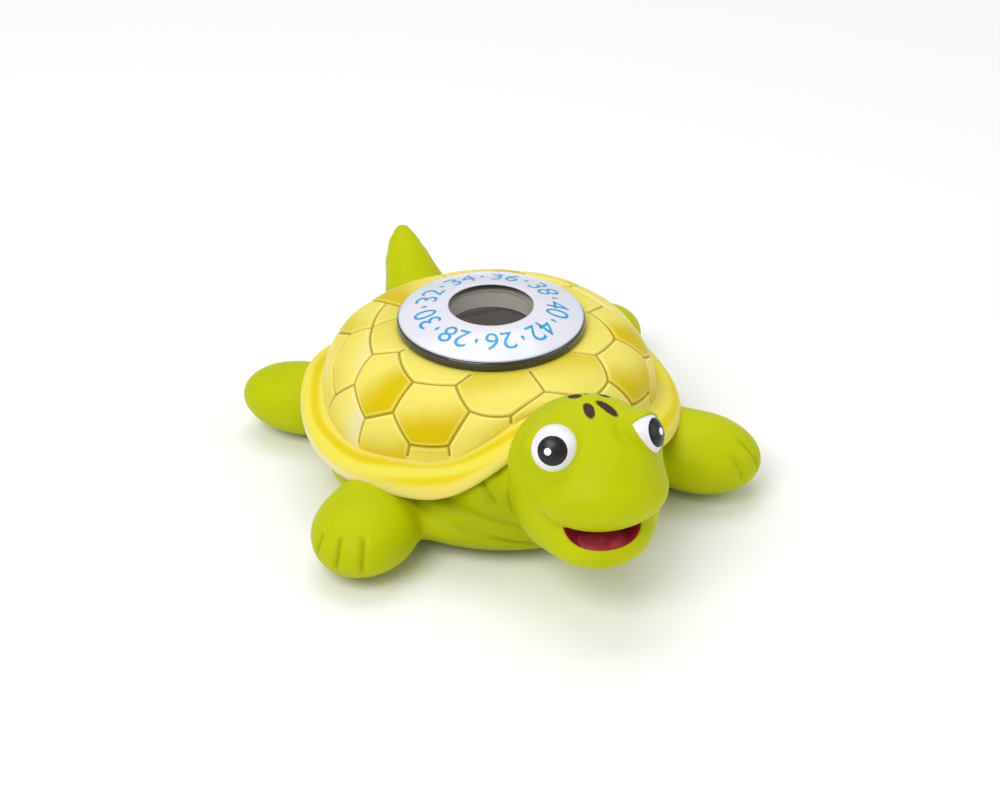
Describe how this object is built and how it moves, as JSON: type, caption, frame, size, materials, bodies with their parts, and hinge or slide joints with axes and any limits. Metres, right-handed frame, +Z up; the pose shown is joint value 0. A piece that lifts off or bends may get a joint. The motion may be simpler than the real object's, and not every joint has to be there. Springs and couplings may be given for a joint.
{
  "type": "floating bath thermometer",
  "caption": "Hollow vinyl turtle float with a removable round thermometer pod: domed display window, printed ring, coin-slot battery door and immersed probe.",
  "frame": {"origin": "on the thermometer pod's axis, in the flat belly face the turtle rests on", "axes": "+Z up along the pod's axis, -Y towards the head, +X towards the turtle's left"},
  "size_m": [0.117, 0.1414, 0.0487],
  "materials": {
    "green_vinyl": "soft matte",
    "yellow_vinyl": "soft matte",
    "white_abs": "gloss",
    "smoked_lens": "gloss",
    "printed_film": "gloss",
    "seal_rubber": "matte",
    "black_frame": "satin",
    "bezel_plastic": "satin",
    "display_glass": "gloss",
    "connector_rubber": "matte",
    "board_laminate": "satin",
    "screw_steel": "bright",
    "chip_resin": "satin",
    "led_lens": "gloss",
    "component_ceramic": "matte",
    "can_metal": "bright",
    "cell_steel": "bright",
    "spring_steel": "bright",
    "stainless": "polished",
    "thermistor_bead": "gloss",
    "lead_insulation": "satin",
    "white_insulation": "satin",
    "wire_insulation": "satin"
  },
  "bodies": {
    "turtle": {"body_shell": "green_vinyl", "carapace": "yellow_vinyl"},
    "pod": {"pod_case": "white_abs", "lens_cap": "smoked_lens", "label_ring": "printed_film", "cap_seal": "seal_rubber", "display_frame": "black_frame", "window_bezel": "bezel_plastic", "lcd_panel": "display_glass", "zebra_strips": "connector_rubber", "circuit_board": "board_laminate", "board_screws": "screw_steel", "controller_chip": "chip_resin", "alert_leds": "led_lens", "passive_parts": "component_ceramic", "crystal": "can_metal", "battery_cell": "cell_steel", "battery_contact_negative": "spring_steel", "battery_contact_positive": "spring_steel", "sensor_cap": "stainless", "thermistor": "thermistor_bead", "sensor_leads": "lead_insulation", "water_contacts": "stainless", "contact_wires": "white_insulation", "battery_wires": "wire_insulation"},
    "door": {"battery_door": "white_abs", "door_seal": "seal_rubber"}
  },
  "joints": [
    {"name": "pod_lift", "type": "slide", "parent": "turtle", "child": "pod", "axis": [0, 0, 1], "range_m": [0, 0.05]},
    {"name": "battery_door_twist", "type": "hinge", "parent": "pod", "child": "door", "pos_m": [0, 0, 0.004], "axis": [0, 0, 1], "range_deg": [0, 60]}
  ]
}
